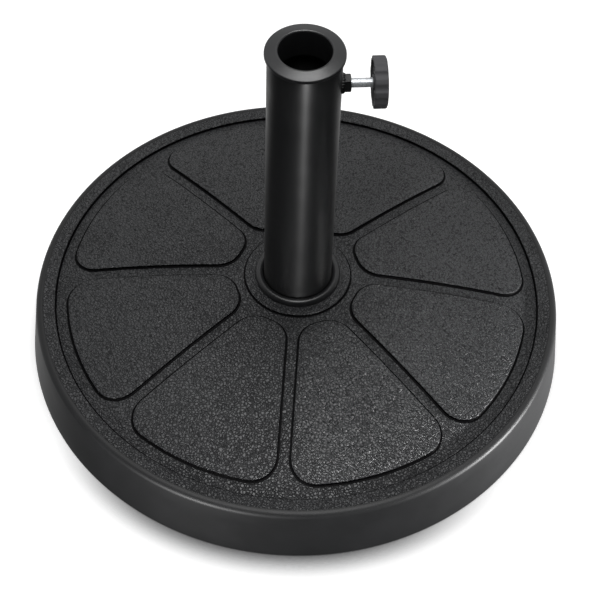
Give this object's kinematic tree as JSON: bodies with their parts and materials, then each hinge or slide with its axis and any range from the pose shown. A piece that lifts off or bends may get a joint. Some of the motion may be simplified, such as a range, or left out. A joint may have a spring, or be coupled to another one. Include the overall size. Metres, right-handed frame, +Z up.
{
  "type": "parasol base",
  "caption": "Round weighted parasol base: crowned grained cover with raised petals, upright tube with a collar, and a hand screw that clamps the pole.",
  "frame": {"origin": "on the floor, on the axis of the tube, under the middle of the base", "axes": "+Z up along the tube; the clamp screw points out 5 degrees from +X towards +Y"},
  "size_m": [0.459, 0.459, 0.34],
  "materials": {
    "shell_plastic": "moulded, grained on top, satin wall",
    "concrete": "cast",
    "cover_plastic": "moulded",
    "rubber": "matt",
    "painted_steel": "satin powder coat",
    "trim_plastic": "smooth, slightly glossy",
    "knob_plastic": "moulded satin",
    "zinc_steel": "bright zinc plate"
  },
  "bodies": {
    "base": {"base_shell": "shell_plastic", "ballast_core": "concrete", "bottom_cover": "cover_plastic", "cover_screws": "zinc_steel", "foot_pads": "rubber", "pad_screws": "zinc_steel", "pole_sleeve": "painted_steel", "sleeve_flange": "painted_steel", "flange_weld": "painted_steel", "anchor_bolts": "zinc_steel", "anchor_washers": "zinc_steel", "anchor_nuts": "zinc_steel", "pole_foot_cup": "cover_plastic", "trim_ring": "trim_plastic", "top_collar": "trim_plastic", "clamp_nut": "painted_steel", "nut_weld": "painted_steel"},
    "clamp_screw": {"clamp_screw": "zinc_steel"},
    "clamp_knob": {"clamp_knob": "knob_plastic", "knob_cap": "knob_plastic"}
  },
  "joints": [
    {"name": "screw_travel", "type": "slide", "parent": "base", "child": "clamp_screw", "axis": [0.9962, 0.0872, 0], "range_m": [-0.0155, 0.008]},
    {"name": "knob_turn", "type": "hinge", "parent": "clamp_screw", "child": "clamp_knob", "pos_m": [0, 0, 0.3048], "axis": [0.9962, 0.0872, 0], "range_deg": [-4460, 2300]}
  ],
  "couplings": [
    {"joint": "screw_travel", "follows": "knob_turn", "m_per_rad": 0.00019894}
  ]
}
